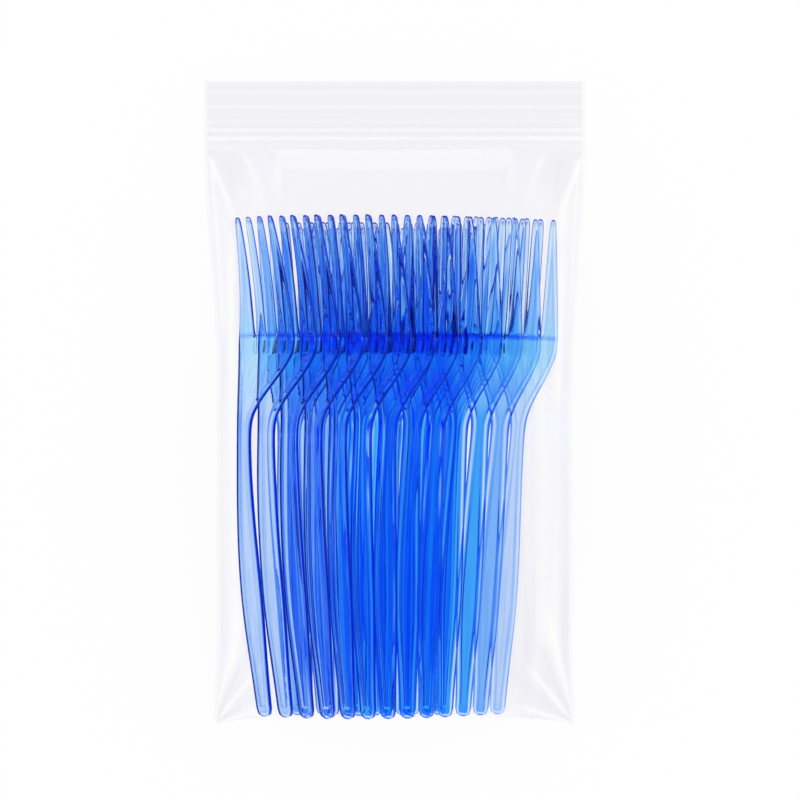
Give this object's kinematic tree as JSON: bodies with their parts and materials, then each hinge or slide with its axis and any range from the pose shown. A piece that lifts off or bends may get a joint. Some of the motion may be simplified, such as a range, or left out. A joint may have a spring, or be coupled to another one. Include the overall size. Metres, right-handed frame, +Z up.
{
  "type": "plastic cutlery pack",
  "caption": "Clear press-zip bag lying flat, filled with see-through blue plastic forks that lie side by side, tines towards the zip.",
  "frame": {"origin": "centre of the bag's bounding box in X and Y, on the plane its flat back lies on", "axes": "+Z up out of the bag's front sheet, +Y towards the zip and the tines, +X to the right seen from above"},
  "size_m": [0.13, 0.2185, 0.038],
  "materials": {
    "blue_plastic": "gloss",
    "clear_film": "gloss"
  },
  "bodies": {
    "root": {"fork_01": "blue_plastic", "fork_02": "blue_plastic", "fork_03": "blue_plastic", "fork_04": "blue_plastic", "fork_05": "blue_plastic", "fork_06": "blue_plastic", "fork_07": "blue_plastic", "fork_08": "blue_plastic", "fork_09": "blue_plastic", "fork_10": "blue_plastic", "fork_11": "blue_plastic", "fork_12": "blue_plastic", "fork_13": "blue_plastic", "fork_14": "blue_plastic", "fork_15": "blue_plastic", "fork_16": "blue_plastic", "fork_17": "blue_plastic", "fork_18": "blue_plastic", "fork_19": "blue_plastic", "fork_20": "blue_plastic", "fork_21": "blue_plastic", "fork_22": "blue_plastic", "fork_23": "blue_plastic", "fork_24": "blue_plastic", "fork_25": "blue_plastic", "zip_bag": "clear_film"}
  },
  "joints": []
}
